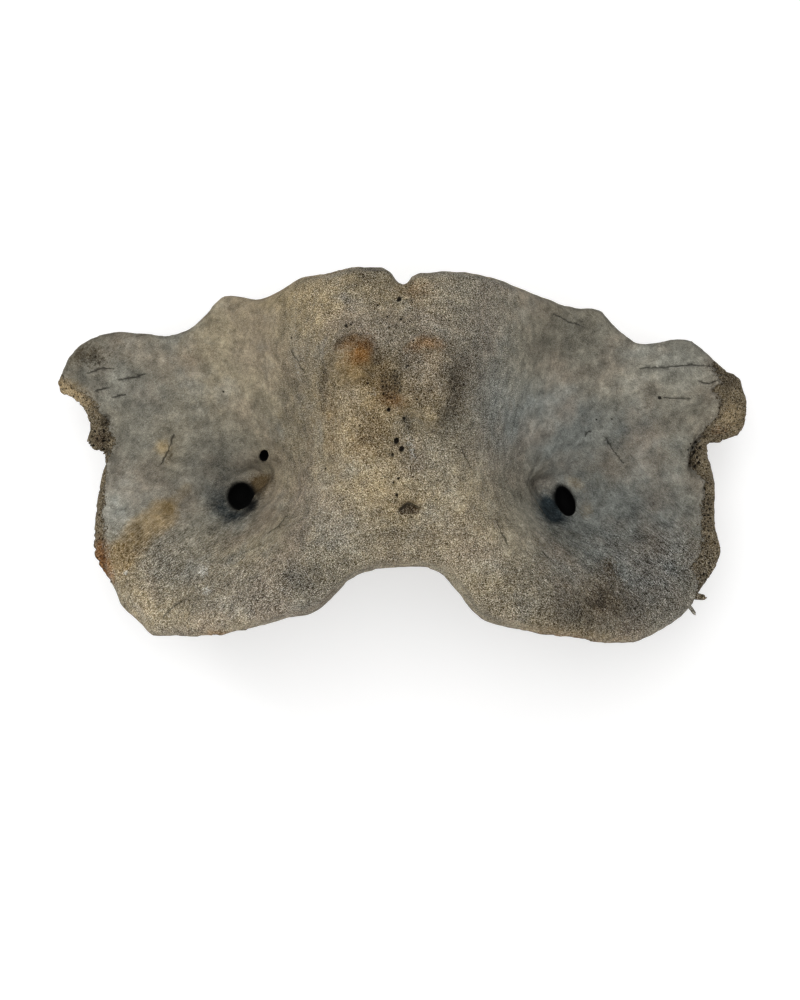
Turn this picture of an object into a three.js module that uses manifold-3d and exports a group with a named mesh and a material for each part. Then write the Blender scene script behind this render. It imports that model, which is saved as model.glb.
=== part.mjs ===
// A weathered cow atlas, the first bone of the neck, lying with its back (dorsal) side up.
// Millimetres. While shaping, x runs across the wings with the midline at 0 and the animal's right at -x,
// y runs towards the tail (caudal) and z towards the back. The skull's end (cranial) is at -y.
// The finished bone stands on z = 0, centred in x and y.
import * as THREE from "three";
import { mergeVertices } from "three/addons/utils/BufferGeometryUtils.js";
import Module from "manifold-3d";

const wasm = await Module();
wasm.setup();

// Grid of the bone's outer form: columns across, rows along
const COLUMNS = 60;
const ROWS = 28;

// The edge between belly and back, from below: how far inside the outline, and its share of the height
const EDGE_LAYERS = [
  { inset: 4.5, rise: 0 },
  { inset: 1.8, rise: 0.16 },
  { inset: 0.5, rise: 0.5 },
  { inset: 0, rise: 0.86 },
  { inset: 1.3, rise: 1 },
];

// Points that a smooth edge line is read from
const EDGE_LINE_POINTS = 600;

// Outline seen from above, [x, y] landmarks from the animal's right to its left
const RIGHT_TIP = [-75.2, 15.2];
const LEFT_TIP = [75.3, 11.2];
const RIGHT_RIM_CORNER = [-53.8, -39.6];
const LEFT_RIM_CORNER = [50, -41];
const CAUDAL_NOTCH = [1, 36.2];
const RIGHT_CAUDAL_EDGE = [
  [-73.9, 18.6],
  [-69.5, 24],
  [-62, 26.4],
  [-50, 25.6],
  [-43.4, 29],
  [-38.5, 33.5],
  [-30, 33.4],
  [-25, 35.6],
  [-17.2, 38],
  [-9.4, 40],
  [-4.1, 39.1],
];
const LEFT_CAUDAL_EDGE = [
  [4.6, 38.7],
  [11, 38.9],
  [17, 38],
  [27, 35],
  [37.7, 31.2],
  [43, 31.2],
  [46.5, 27.2],
  [51.5, 23.9],
  [62, 24.9],
  [66.6, 22],
  [69.6, 18.4],
  [73.4, 15.8],
];
const CRANIAL_NOTCH = [0, -24.5];
const RIGHT_CRANIAL_EDGE = [
  [-38, -38.8],
  [-25, -35.4],
  [-18.5, -33.8],
  [-14.6, -30.4],
  [-9.4, -26.1],
];
const LEFT_CRANIAL_EDGE = [
  [8.9, -25.8],
  [13, -30.4],
  [16.8, -35.2],
  [27.3, -38.1],
  [40, -40.4],
];
const RIGHT_WORN_EDGE = [
  [-60.4, -32.6],
  [-66.6, -19.7],
  [-65.4, -6.6],
  [-64.1, -0.8],
  [-68.2, 4],
  [-67.4, 6.6],
  [-70.6, 11.4],
];
const LEFT_WORN_EDGE = [
  [57.3, -37.5],
  [62.2, -34.4],
  [66, -28.6],
  [69.7, -22.4],
  [68.6, -15],
  [68.4, -7],
  [66.8, 1.6],
  [72.6, 3.2],
  [75, 6.4],
];

// Heights of the back: dorsal arch along the midline, and the wings beside it
const ARCH_TOP = 69;
const ARCH_CAUDAL_DROP = { by: 8, fromY: 18, toY: 42 };
const ARCH_CRANIAL_DROP = { by: 5, fromY: -2, toY: -34 };
const WING_ROOT_TOP = 36;
const WING_FALL = 0.16; // per mm outwards from the wing's root
const WING_ROOT_X = 30;
const WING_TILT = 0.08; // per mm towards the tail

// Half breadth of the arch at half its height: in the middle, and what it spreads to at each end
const ARCH_HALF_MIDDLE = 21;
const ARCH_SPREAD_CAUDAL = { half: 24, fromY: 0, toY: 30 };
const ARCH_SPREAD_CRANIAL = { half: 46, fromY: -4, toY: -38 };
const ARCH_STEEP = 5.5;

// Heights of the belly side: ventral arch, hollow under each wing, thick worn border
const VENTRAL_ARCH_BOTTOM = 5;
const VENTRAL_HALF_CAUDAL = 26;
const VENTRAL_SPREAD_CRANIAL = { half: 38, fromY: 5, toY: -36 };
const VENTRAL_STEEP = 5;
const WING_HOLLOW_BOTTOM = 23;
const WING_BORDER = { bottom: 14, fromX: 50, toX: 68 };
const FLOOR_LEVEL = 0.6; // what lies below is worn to small flats

// Rounded swellings and hollows: centre, reach along x and y, height
const DORSAL_SWELLINGS = [
  { at: [-1, 17], reach: [17, 14], height: 3 }, // broad foot of the dorsal tubercle
  { at: [-10.7, 20], reach: [6.5, 7], height: 2.6 }, // its right lobe
  { at: [8.5, 16], reach: [8, 9], height: 3.4 }, // its left lobe
  { at: [-2.4, 13.5], reach: [3.2, 4], height: -2 }, // pit between them
  { at: [-36, -8], reach: [12, 11], height: -7.5 }, // hollow round the right alar foramen
  { at: [36, -9], reach: [12, 11], height: -7.5 },
  { at: [-31, -7], reach: [5, 3.5], height: -3 }, // groove into the right alar foramen
  { at: [31, -8], reach: [5, 3.5], height: -3 },
  { at: [-46, 12], reach: [16, 16], height: -2.5 }, // dish of the right wing
  { at: [46, 10], reach: [16, 16], height: -2.5 },
  { at: [1, 37.5], reach: [4.5, 7], height: -4 }, // groove into the caudal notch
];
const VENTRAL_SWELLINGS = [
  { at: [0, 22], reach: [9, 9], height: -7 }, // ventral tubercle
  { at: [-23, -31], reach: [9, 7], height: -8 }, // lips below the cranial cups
  { at: [23, -31], reach: [9, 7], height: -8 },
];

// Worn wing borders, where the hard skin is gone and the spongy inside stands lower
const SPONGE_DROP = 2.6;
const SPONGE_SOFTNESS = 1;
const SPONGE_WIDTH = 1.2;
const RIGHT_SPONGE = [
  { y: 11, reach: 4, width: 3 },
  { y: 3, reach: 4, width: 4 },
  { y: -24, reach: 7, width: 2 },
];
const LEFT_SPONGE = [
  { y: 10, reach: 7, width: 6 },
  { y: -9, reach: 9, width: 2 },
  { y: -24, reach: 6, width: 4 },
];

// Vertebral canal: an oval that widens at both ends
const CANAL_HALF_WIDTH = 18;
const CANAL_FLARE_CAUDAL = { by: 5, toY: 38 };
const CANAL_FLARE_CRANIAL = { by: 2.5, toY: -30 };
const CANAL_HALF_HEIGHT = 18.5;
const CANAL_CENTRE_Z = 37.5;
const CANAL_CAUDAL_SAG = 2; // its centre lies this much lower at the caudal end
const CANAL_LENGTH = 110;
const CANAL_SIDES = 28;
const CANAL_STEPS = 12;

// Joint surfaces: deep cups for the skull, shallow faces for the next bone
const CUP = { at: [27, -44.5, 32], radii: [18, 21, 22.5], turn: 0.22, lean: 0.32 };
const CAUDAL_FACE = { at: [25, 42, 29], radii: [15.5, 10, 14.5], turn: -0.25, lean: 0.3 };
const CUP_SEGMENTS = [22, 16];

// Passages: alar foramina through the wings, nerve openings into the canal, feeding holes
const PASSAGE_SIDES = 12;
const PASSAGE_STEPS = 8;
const ALAR_HALF = [2.5, 3.5]; // across and along the bone
const ALAR_PATH = [
  [33.4, -8, 50],
  [33.5, -8.8, 38],
  [34.6, -9.4, 31],
  [36.4, -10, 26.5],
  [40.2, -11.8, 22.5],
  [46, -14.5, 19],
  [54, -18, 10],
];
const NERVE_HALF = [2.6, 2.6];
const NERVE_PATH = [
  [38, -10.5, 24.5],
  [29, -9, 24],
  [12, -7.5, 32],
];
const FEEDING_HOLE_SIDES = 8;
const FEEDING_HOLE_TAPER = 0.5; // bottom radius against the mouth's
const FEEDING_HOLES = [
  { at: [-29.6, -0.4], radius: 1.2, depth: 9 },
  { at: [-2.6, 8.6], radius: 0.7, depth: 5 },
  { at: [-0.6, 2.8], radius: 0.9, depth: 5 },
  { at: [0.4, 0.6], radius: 0.8, depth: 5 },
];

// Two slivers that stand out of the left worn edge: root, tip and thickness
const SLIVER_SIDES = 7;
const SLIVER_TAPER = 0.3; // tip radius against the root's
const SLIVERS = [
  { root: [61.5, -30.4, 21], tip: [67.2, -31.6, 20.5], radius: 1.1 },
  { root: [60.5, -30, 21], tip: [64.6, -35.6, 20], radius: 0.9 },
];

const BONE = new THREE.MeshStandardMaterial({ color: 0x776f61, roughness: 0.85, metalness: 0 });

// A block under the floor level, larger than the bone
const FLOOR_BLOCK = [300, 300, 40];

// Small functions on numbers
const mix = THREE.MathUtils.lerp;
const step = (from, to, value) => {
  const t = THREE.MathUtils.clamp((value - from) / (to - from), 0, 1);
  return t * t * (3 - 2 * t);
};
const partWay = ({ fromY, toY }, y) => step(fromY, toY, y);
const bell = (distance) => Math.exp(-distance * distance);
const plateau = (distance, steepness) => 1 / (1 + Math.abs(distance) ** steepness);
const swelling = (list, x, y) =>
  list.reduce((sum, { at, reach, height }) => {
    const away = Math.hypot((x - at[0]) / reach[0], (y - at[1]) / reach[1]);
    return sum + height * bell(away);
  }, 0);

// A smooth line through landmarks, read by its x (axis 0) or y (axis 1) as a share of the whole way
function edgeLine(landmarks, axis) {
  const corners = landmarks.map(([x, y]) => new THREE.Vector3(x, y, 0));
  const points = new THREE.CatmullRomCurve3(corners, false, "centripetal").getPoints(EDGE_LINE_POINTS);
  const first = landmarks[0][axis];
  const last = landmarks[landmarks.length - 1][axis];
  return (share) => {
    const wanted = mix(first, last, share);
    const next = points.findIndex((p) => p.getComponent(axis) >= wanted);
    return points[next < 0 ? points.length - 1 : next];
  };
}

const caudalEdge = edgeLine(
  [RIGHT_TIP, ...RIGHT_CAUDAL_EDGE, CAUDAL_NOTCH, ...LEFT_CAUDAL_EDGE, LEFT_TIP],
  0,
);
const cranialEdge = edgeLine(
  [RIGHT_RIM_CORNER, ...RIGHT_CRANIAL_EDGE, CRANIAL_NOTCH, ...LEFT_CRANIAL_EDGE, LEFT_RIM_CORNER],
  0,
);
const rightEdge = edgeLine([RIGHT_RIM_CORNER, ...RIGHT_WORN_EDGE, RIGHT_TIP], 1);
const leftEdge = edgeLine([LEFT_RIM_CORNER, ...LEFT_WORN_EDGE, LEFT_TIP], 1);

// The place inside the outline at shares u across and v along: a patch spanned by the four edges
function placeInOutline(u, v) {
  const along = (edgePoint, axis) => edgePoint.getComponent(axis);
  const spanned = (axis) => {
    const corner = (edge, share) => along(edge(share), axis);
    const ruledAlong = mix(along(cranialEdge(u), axis), along(caudalEdge(u), axis), v);
    const ruledAcross = mix(along(rightEdge(v), axis), along(leftEdge(v), axis), u);
    const low = mix(corner(cranialEdge, 0), corner(cranialEdge, 1), u);
    const high = mix(corner(caudalEdge, 0), corner(caudalEdge, 1), u);
    return ruledAlong + ruledAcross - mix(low, high, v);
  };
  return [spanned(0), spanned(1)];
}

// Height of the back at a place
function backHeight(x, y) {
  const caudalFall = ARCH_CAUDAL_DROP.by * partWay(ARCH_CAUDAL_DROP, y);
  const cranialFall = ARCH_CRANIAL_DROP.by * partWay(ARCH_CRANIAL_DROP, y);
  const crest = ARCH_TOP - caudalFall - cranialFall;
  const outwards = Math.max(0, Math.abs(x) - WING_ROOT_X);
  const wing = WING_ROOT_TOP - WING_FALL * outwards + WING_TILT * y;
  const middle = mix(ARCH_HALF_MIDDLE, ARCH_SPREAD_CAUDAL.half, partWay(ARCH_SPREAD_CAUDAL, y));
  const half = mix(middle, ARCH_SPREAD_CRANIAL.half, partWay(ARCH_SPREAD_CRANIAL, y));
  return wing + (crest - wing) * plateau(x / half, ARCH_STEEP) + swelling(DORSAL_SWELLINGS, x, y);
}

// Height of the belly side at a place
function bellyHeight(x, y) {
  const border = step(WING_BORDER.fromX, WING_BORDER.toX, Math.abs(x));
  const wing = mix(WING_HOLLOW_BOTTOM, WING_BORDER.bottom, border);
  const spread = partWay(VENTRAL_SPREAD_CRANIAL, y);
  const half = mix(VENTRAL_HALF_CAUDAL, VENTRAL_SPREAD_CRANIAL.half, spread);
  const arch = (VENTRAL_ARCH_BOTTOM - wing) * plateau(x / half, VENTRAL_STEEP);
  return wing + arch + swelling(VENTRAL_SWELLINGS, x, y);
}

// How far the worn border is sunk at a place, by its distance from the edge beside it
function spongeSink(x, y, edgeX, patches) {
  const width = patches.reduce((sum, p) => sum + p.width * bell((y - p.y) / p.reach), SPONGE_WIDTH);
  const distance = Math.abs(edgeX - x);
  return SPONGE_DROP * step(width + SPONGE_SOFTNESS, width - SPONGE_SOFTNESS, distance);
}

// The outer form: a box whose faces become the back, the belly side and the rounded edge between
function outerForm() {
  const layers = EDGE_LAYERS.length - 1;
  const form = new THREE.BoxGeometry(1, 1, 1, COLUMNS, ROWS, layers);
  const position = form.getAttribute("position");
  const breadth = LEFT_TIP[0] - RIGHT_TIP[0];
  const length = CAUDAL_NOTCH[1] - CRANIAL_NOTCH[1];
  for (let i = 0; i < position.count; i++) {
    const { inset, rise } = EDGE_LAYERS[Math.round((position.getZ(i) + 0.5) * layers)];
    const u = mix(inset / breadth, 1 - inset / breadth, position.getX(i) + 0.5);
    const v = mix(inset / length, 1 - inset / length, position.getY(i) + 0.5);
    const [x, y] = placeInOutline(u, v);
    const sink = Math.max(
      spongeSink(x, y, rightEdge(v).x, RIGHT_SPONGE),
      spongeSink(x, y, leftEdge(v).x, LEFT_SPONGE),
    );
    position.setXYZ(i, x, y, mix(bellyHeight(x, y), backHeight(x, y) - sink, rise));
  }
  return form;
}

// The canal: an upright cylinder laid along y, its oval section changing on the way
function canalForm() {
  const form = new THREE.CylinderGeometry(1, 1, CANAL_LENGTH, CANAL_SIDES, CANAL_STEPS);
  const position = form.getAttribute("position");
  for (let i = 0; i < position.count; i++) {
    const y = position.getY(i);
    const caudal = step(0, CANAL_FLARE_CAUDAL.toY, y);
    const cranial = step(0, CANAL_FLARE_CRANIAL.toY, y);
    const flare = CANAL_FLARE_CAUDAL.by * caudal + CANAL_FLARE_CRANIAL.by * cranial;
    const centreZ = CANAL_CENTRE_Z - CANAL_CAUDAL_SAG * caudal;
    const z = centreZ + CANAL_HALF_HEIGHT * position.getZ(i);
    position.setXYZ(i, (CANAL_HALF_WIDTH + flare) * position.getX(i), y, z);
  }
  return form;
}

// An egg-shaped cutter for a joint surface on one side of the midline
function jointForm({ at, radii, turn, lean }, side) {
  return new THREE.SphereGeometry(1, ...CUP_SEGMENTS)
    .scale(...radii)
    .rotateY(side * lean)
    .rotateZ(side * turn)
    .translate(side * at[0], at[1], at[2]);
}

// An oval passage along a path on one side of the midline
function passageForm(path, half, side) {
  const section = new THREE.Shape().absellipse(0, 0, ...half, 0, 2 * Math.PI);
  const points = path.map(([x, y, z]) => new THREE.Vector3(side * x, y, z));
  return new THREE.ExtrudeGeometry(section, {
    curveSegments: PASSAGE_SIDES / 2,
    steps: PASSAGE_STEPS,
    extrudePath: new THREE.CatmullRomCurve3(points),
  });
}

// A small tapered hole, its middle at the back's surface
function feedingHoleForm({ at: [x, y], radius, depth }) {
  return new THREE.CylinderGeometry(radius, radius * FEEDING_HOLE_TAPER, 2 * depth, FEEDING_HOLE_SIDES)
    .rotateX(Math.PI / 2)
    .translate(x, y, backHeight(x, y));
}

// A tapered sliver from its root to its tip
function sliverForm({ root, tip, radius }) {
  const from = new THREE.Vector3(...root);
  const along = new THREE.Vector3(...tip).sub(from);
  const turn = new THREE.Quaternion().setFromUnitVectors(
    new THREE.Vector3(0, 1, 0),
    along.clone().normalize(),
  );
  return new THREE.CylinderGeometry(radius * SLIVER_TAPER, radius, along.length(), SLIVER_SIDES)
    .translate(0, along.length() / 2, 0)
    .applyQuaternion(turn)
    .translate(...root);
}

// A closed geometry as a solid, and back
function solidOf(geometry) {
  const bare = new THREE.BufferGeometry();
  bare.setAttribute("position", geometry.getAttribute("position"));
  bare.setIndex(geometry.index);
  const merged = mergeVertices(bare, 1e-4);
  return new wasm.Manifold(
    new wasm.Mesh({
      numProp: 3,
      vertProperties: new Float32Array(merged.getAttribute("position").array),
      triVerts: new Uint32Array(merged.index.array),
    }),
  );
}

function geometryOf(solid) {
  const mesh = solid.getMesh();
  const geometry = new THREE.BufferGeometry();
  geometry.setAttribute("position", new THREE.BufferAttribute(mesh.vertProperties, 3));
  geometry.setIndex(new THREE.BufferAttribute(mesh.triVerts, 1));
  return geometry;
}

const largestOf = (solid) =>
  solid.decompose().reduce((best, piece) => (piece.volume() > best.volume() ? piece : best));

// The whole bone in one piece
function atlasSolid() {
  const floorBlock = new THREE.BoxGeometry(...FLOOR_BLOCK).translate(0, 0, FLOOR_LEVEL - FLOOR_BLOCK[2] / 2);
  const cutters = [canalForm(), floorBlock, ...FEEDING_HOLES.map(feedingHoleForm)];
  for (const side of [-1, 1]) {
    cutters.push(jointForm(CUP, side), jointForm(CAUDAL_FACE, side));
    cutters.push(passageForm(ALAR_PATH, ALAR_HALF, side), passageForm(NERVE_PATH, NERVE_HALF, side));
  }
  let bone = solidOf(outerForm());
  for (const sliver of SLIVERS) bone = bone.add(solidOf(sliverForm(sliver)));
  for (const cutter of cutters) bone = bone.subtract(solidOf(cutter));
  return largestOf(bone);
}

const geometry = geometryOf(atlasSolid());
geometry.computeBoundingBox();
const { min, max } = geometry.boundingBox;
geometry.translate(-(min.x + max.x) / 2, -(min.y + max.y) / 2, -min.z);
geometry.computeVertexNormals();

const atlas = new THREE.Mesh(geometry, BONE);
atlas.name = "atlas";

const part = new THREE.Group();
part.add(atlas);
export default part;
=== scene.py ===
# A weathered cow atlas lying back side up on a pale floor, seen from straight above.
# Lengths are millimetres. Places on the bone count from its midline, as its solid's landmarks do:
# x across the wings, y towards the tail, z up.
import math
import random

import bpy
import numpy as np
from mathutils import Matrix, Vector, noise
from mathutils.bvhtree import BVHTree


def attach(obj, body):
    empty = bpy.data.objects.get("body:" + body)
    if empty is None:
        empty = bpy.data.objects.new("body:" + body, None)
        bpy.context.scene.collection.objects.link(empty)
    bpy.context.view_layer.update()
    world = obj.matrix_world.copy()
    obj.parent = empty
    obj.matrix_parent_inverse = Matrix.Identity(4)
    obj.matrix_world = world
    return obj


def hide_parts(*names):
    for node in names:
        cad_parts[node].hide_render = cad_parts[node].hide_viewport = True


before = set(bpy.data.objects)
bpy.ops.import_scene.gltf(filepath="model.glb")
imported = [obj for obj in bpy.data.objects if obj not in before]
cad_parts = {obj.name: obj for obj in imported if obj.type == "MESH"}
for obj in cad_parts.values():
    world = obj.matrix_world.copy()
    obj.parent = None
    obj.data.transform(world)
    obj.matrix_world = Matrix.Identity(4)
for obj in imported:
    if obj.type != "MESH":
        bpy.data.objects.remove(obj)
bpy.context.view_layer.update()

MM = 0.001
SEED = 5

# The landmarks' zero, counted from the middle of the finished bone's box
ORIGIN = np.array((-0.05, 0.5, -0.6))

# Fineness of the bone's mesh, halved on the back and again at the worn borders
VOXEL = 1.24
ROUND_STEPS = 3
EVEN_STEPS = 4
SMOOTHING = 0.5
SWELLING = -0.52
EDGE_REGAIN = 0.25  # what the voxels took off the outer edges
CANAL_KEPT = (21, 37)  # radius and level of the canal, whose walls keep their size
BORDER_MARGIN = 1.6
FACES_UP = 0.12  # least upward share of a normal on the back
SKY_GAP = 0.3

# Where the hard skin of each wing ends, from the tail end to the skull end
LEFT_SKIN_EDGE = [
    (78, 22.5), (67.8, 19.9), (67.8, 18), (69.6, 15.6), (68, 14.2), (69.5, 12.1), (69.3, 8.4),
    (68.6, 7.3), (66.9, 6.4), (65.8, 4.9), (65.2, 2.9), (63.4, 0.8), (62.6, -1), (63.2, -2.9),
    (64.7, -4.7), (66.3, -6), (66.5, -8), (65.6, -10.1), (65.4, -14.5), (65.6, -18.9), (65.3, -21.5),
    (63.9, -23.7), (62.8, -24.2), (63.9, -25.8), (64.7, -27.6), (64.6, -29.8), (63.8, -31.5), (70, -34),
]
RIGHT_SKIN_EDGE = [
    (-78, 19.5), (-73.9, 17.1), (-71, 13.8), (-68.9, 13.2), (-66.7, 11.7), (-65.4, 9), (-63.4, 7.3),
    (-63.4, 5.1), (-62.3, 3.6), (-62.8, 1.9), (-63.9, 0.3), (-64.2, -2.5), (-64.3, -5.8), (-64.3, -10.1),
    (-64.7, -12.3), (-64.5, -14.5), (-64.7, -18.9), (-64.4, -22.1), (-64.2, -24.3), (-63.5, -26.5),
    (-63, -28.7), (-68, -32),
]
SKIN_JAGS = ((2.6, 0.8), (1, 0.55), (0.5, 0.25))  # size and reach of the jags along it
SKIN_STEP = 0.9
SKIN_FROM = 40  # the edges lie further out than this
PORE_SIZE = 1.1
PORE_DEPTH = 0.55
PORE_MIDDLE = 0.3  # share of a pore's depth that leaves the border's level as it was

# Relief of the hard skin: lump size and height
RELIEF = ((14, 0.35), (5, 0.2), (1.9, 0.1))

# Forms of the back finer than the solid's: place, reach, turn, height, and how flat-topped each is
BACK_FORMS = [
    ((-10.7, 20), (4.8, 5), 0.3, 1.5, 7),  # facet on the right lobe
    ((5.2, 15), (6.2, 9.2), 0.1, 2, 5),  # left lobe
    ((5.6, 22.6), (4.4, 2.6), 0.1, 0.7, 4),
    ((-1.8, 14), (2.2, 4.2), 0, -0.9, 4),  # pit between the lobes
    ((2.8, 6), (2.4, 3.2), 0.3, -1.4, 4),  # hollow beside the midline
    ((-1.2, -0.4), (2.2, 1.8), 0, -0.7, 3),
    ((-6.2, 12.4), (3, 3.2), 0, 0.5, 4),
    ((-15.6, 11), (2.6, 7), 0.1, -0.25, 3),
    ((-19.5, -4.5), (2.4, 2), 0.4, 0.7, 5),
    ((-23, -11), (2.6, 4), 0.5, -0.5, 4),
    ((9, -2), (4, 3), 0.2, 0.4, 5),
    ((-2, 30), (4, 3), 0, -0.6, 4),
    ((8, 29.4), (3.4, 2.4), 0.3, 0.5, 5),
    ((-8, 29.6), (3.6, 2), -0.2, 0.4, 5),
    ((-4, -14.4), (4, 1.2), 0, -0.5, 3),
    ((6.1, 7.6), (2, 2), 0, 0.7, 3),
    ((-66.6, 3.2), (2, 2.4), 0, 1.1, 4),  # lumps of the right worn border
    ((-64.6, 7.2), (1.6, 1.1), 0.6, -1.4, 4),
    ((-64.4, 0.2), (2, 0.9), -0.4, -1.2, 4),
    ((-65.5, -22), (1.6, 5), 0, 0.8, 2),
    ((65.2, 1.6), (1.5, 3), -0.5, -3, 4),  # cavities of the left worn border
    ((64.4, -2.6), (1.6, 2.5), 0.35, -3, 4),
    ((-67, 20.6), (3.6, 1.8), 0.4, -0.6, 3),  # rough hollow by the right tip
    ((-68.5, 15), (3, 0.9), 0.3, -0.5, 3),
]
FACET = ((-10.7, 19.4), (5, 5.4), 0.3)  # the facet's smooth face
FORM_WOBBLE = 0.3  # unevenness of their outlines
# Low ridges of the back: way, half width, height
RIDGES = [
    ([(-0.4, 9.6), (-0.9, 5.8), (0.4, 3.6), (1.7, 1.2), (2.6, -1.4)], 0.8, 0.55),
    ([(-9, -16.4), (-3, -17), (4, -16.6), (10, -15)], 1.3, 0.35),
    ([(-25.7, -3.6), (-30.4, -10.1), (-33.4, -13.4), (-39.5, -16.7)], 0.5, 0.3),
    ([(26.6, -6.9), (28.1, -9.1), (29.9, -12.8), (31.4, -15.6), (34.7, -19.3)], 0.5, 0.3),
    ([(-14.8, 17), (-15, 19.4), (-13.6, 22.6), (-10.6, 24.4)], 0.6, 0.35),
]
# Small shifts of the outline in plan: place, reach, shift
NUDGES = [
    ((-4, 38.2), (2.4, 2.4), (1, 0.5)),  # shoulders of the notch towards the tail
    ((3.2, 37.6), (2.2, 2.6), (-1.2, 0.9)),
    ((-21, 36.6), (3, 2), (0, 0.6)),
    ((-38, 34.4), (3, 2), (-0.5, 0.7)),
    ((72.6, 15), (2, 2.4), (0.7, 0.6)),
    ((-59, -31.6), (2.4, 2.4), (-0.8, -0.5)),
    ((-66.4, 5.4), (1, 1.2), (0.9, 0)),
    ((67.4, 2.4), (1.2, 1), (-0.9, 0.6)),
    ((-74.2, 13.6), (2, 2), (-0.5, -1)),
    ((-38.9, -39), (1.6, 1.4), (0, -0.7)),
]
# Slopes that run down from a sharp ridge into the alar foramina: the ridge's ends, then the
# slope's middle, reach and turn, its width and its drop
SLOPES = [
    ((-25.7, -3.6), (-39.5, -16.7), (-32.3, -7.6), (7, 4.2), 0.76, 1.6, 1.7),
    ((26.6, -6.9), (34.7, -19.3), (30.8, -10.6), (5.6, 5.4), 0, 3.6, 2.3),
    ((-1, -13.8), (5, -13.6), (1.8, -12), (2.6, 1.7), 0, 2.4, 1.5),  # into the lipped cavity
]

# Both alar foramina are filled to this reach and depth, and cut anew
PLUG_REACH = 5
PLUG_DEPTH = 3
PLUG_SIDES = 32
# Openings cut with a crisp lip: place, radii, turn
FORAMINA = [
    ((-34.8, -9.35), (3, 3.15, 6), 0.2),
    ((35.75, -10.4), (2.05, 3.6, 6), 0.38),
    ((-29.6, -0.4), (1.05, 1.3, 4), -0.4),
]
# Pits of the back: place, radius, depth
PITS = [
    ((-2.6, 9.05), 0.42, 1.4), ((-0.95, 2.5), 0.62, 1.8), ((0.15, 0.75), 0.55, 1.8), ((-1.8, -0.5), 0.5, 0.4),
    ((-0.5, -5.5), 0.27, 0.8), ((-1.6, -6.4), 0.22, 0.8), ((-0.9, -9), 0.36, 0.8), ((-3.4, -5.2), 0.17, 0.5),
    ((0.65, 7.2), 0.4, 0.6), ((-7, 14.6), 0.26, 0.6), ((-8.7, 5.6), 0.2, 0.6), ((-5.8, 7.3), 0.2, 0.6),
    ((-11.6, 26.8), 0.36, 0.5), ((-10.6, 27.1), 0.24, 0.5), ((0, 28.2), 0.32, 0.6), ((-0.4, 32.6), 0.5, 0.7),
    ((-4.9, 31.3), 0.24, 0.5), ((-2.9, 28.8), 0.22, 0.5), ((7.5, -10), 0.2, 0.5), ((-16, -3.4), 0.2, 0.5),
    ((56.3, 12.1), 0.4, 0.4), ((42.5, 7.4), 0.18, 0.4), ((45.9, 7.5), 0.2, 0.4), ((-38.5, 13.4), 0.26, 0.3),
    ((2.6, 23.6), 0.22, 0.5), ((1.4, 18.2), 0.24, 0.5), ((3.4, 11.2), 0.22, 0.5), ((-23.4, 24.6), 0.2, 0.4),
]
PIT_STRETCH = (0.75, 1.35)
# How deep the painted shade is in the cracks and in each kind of hole
CRACK_DARKNESS = 0.7
HOLE_DARKNESS = {"foramen": 1.0, "pit": 0.9, "pore": 0.9}
# Patches strewn with small pores: place, reach, number, radius
PORE_PATCHES = [
    ((-2.1, 14.4), (2.2, 3.2), 60, 0.27),
    ((2.2, 34), (3, 2.2), 16, 0.2),
    ((-3.2, -12.9), (1.9, 0.5), 8, 0.2),
    ((-1, 21), (5, 4), 16, 0.13),
    ((-2, 2), (7, 12), 26, 0.12),
    ((0, -18), (7, 3), 14, 0.13),
    ((-45, -38.2), (3, 0.5), 12, 0.17),
    ((63.9, 0.2), (1.5, 3), 12, 0.42),  # the worn borders
    ((66.7, -14), (0.9, 8), 26, 0.32),
    ((66, -24.5), (1.6, 3), 12, 0.34),
    ((71.6, 6.6), (2.8, 5), 26, 0.2),
    ((-65.6, 3), (2.3, 2.2), 12, 0.38),
    ((-65.4, -22), (0.9, 4.5), 14, 0.28),
    ((-69.8, 12.2), (3, 1.4), 12, 0.22),
]
PORE_SCALE = (0.6, 1.1)
PORE_STRETCH = (0.6, 1)
PORE_SPACING = 2.3  # least distance of two pores of a patch, in radii
HOLE_SPACING = 1.3
PORE_TRIES = 30
# Cracks and scratches: way, width, depth
CRACKS = [
    ([(-61.4, 16), (-58, 16.5), (-55.6, 17.4)], 0.13, 0.35),
    ([(-51.4, -35.4), (-49.4, -33.4), (-47.3, -31.9)], 0.12, 0.35),
    ([(51.9, 18.6), (58, 18.8), (63, 19.3), (67.2, 19)], 0.1, 0.3),
    ([(44.4, 3.4), (46, 1.2), (48.4, -2)], 0.07, 0.25),
    ([(49.3, -29.8), (51, -32), (52.5, -34.1)], 0.08, 0.3),
    ([(-49.4, 4.4), (-50.6, 0.6), (-52.1, -2.3)], 0.1, 0.3),
    ([(57.2, 12.2), (60, 11.8), (63, 11.9)], 0.06, 0.2),
    ([(40.1, 3.6), (40.4, 4.6), (41.4, 4.9)], 0.13, 0.3),
    ([(-63, 12.2), (-59.8, 12.9)], 0.1, 0.3),
    ([(-0.3, -12.4), (0.4, -11.6), (1.3, -11), (2.5, -11), (3.8, -11.8)], 0.5, 0.8),
    ([(-23.4, 22), (-22, 19.4), (-20.6, 17)], 0.12, 0.3),
    ([(12.8, 1.4), (13.6, -0.8), (14.8, -3.4)], 0.1, 0.3),
    ([(20.2, -14), (21.4, -17), (22.8, -19.8)], 0.12, 0.3),
    ([(-24.6, -13.6), (-26.4, -15.8), (-28.8, -17.4)], 0.12, 0.3),
    ([(30, -21), (33, -24), (35, -25)], 0.1, 0.3),
    ([(33, 30), (36, 28.6), (39, 27.6)], 0.06, 0.2),
    ([(-66.6, 13.6), (-63.4, 14.4)], 0.16, 0.4),
    ([(-68.4, 17.4), (-65, 18.6), (-62.4, 18.4)], 0.14, 0.4),
    ([(64.6, 15.8), (67, 15.2), (69, 16)], 0.16, 0.4),
]
CRACK_STEP = 0.7
CRACK_WOBBLE = 0.12
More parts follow.
